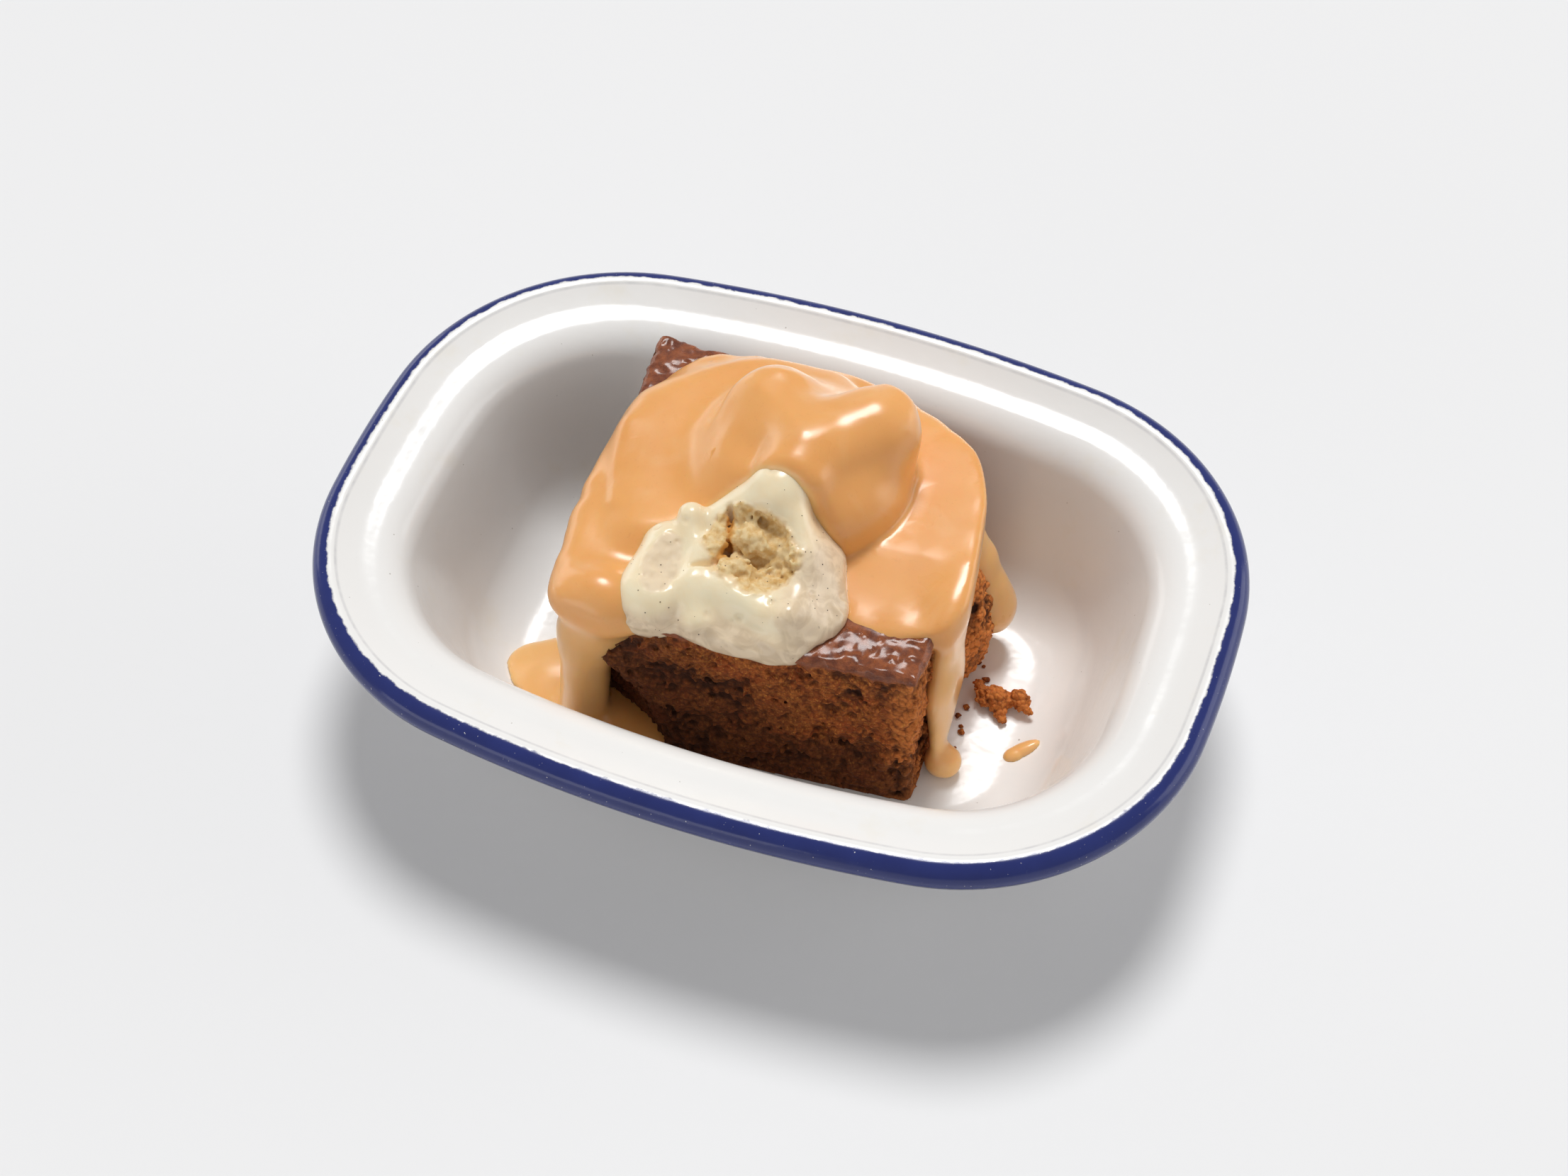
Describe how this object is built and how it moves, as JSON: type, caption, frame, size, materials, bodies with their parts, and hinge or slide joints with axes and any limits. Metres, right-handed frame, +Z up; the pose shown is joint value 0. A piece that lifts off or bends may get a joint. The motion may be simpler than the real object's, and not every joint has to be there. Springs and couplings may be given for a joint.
{
  "type": "sticky toffee pudding in an enamelled pie dish",
  "caption": "Square of sponge pudding in an oblong rimmed dish, topped with a melting scoop of ice cream and poured toffee sauce.",
  "frame": {"origin": "on the ground under the middle of the dish", "axes": "+Z up, +X along the dish's length, the cake's open front face towards -Y"},
  "size_m": [0.18, 0.1304, 0.0649],
  "materials": {
    "enamel": "glossy white enamel with a blue rim",
    "cake": "porous baked crumb",
    "ice_cream": "soft, wet where melted",
    "sauce": "smooth and glossy"
  },
  "bodies": {
    "root": {"dish": "enamel", "pudding": "cake", "ice_cream": "ice_cream", "toffee_sauce": "sauce", "cake_crumb": "cake"}
  },
  "joints": []
}
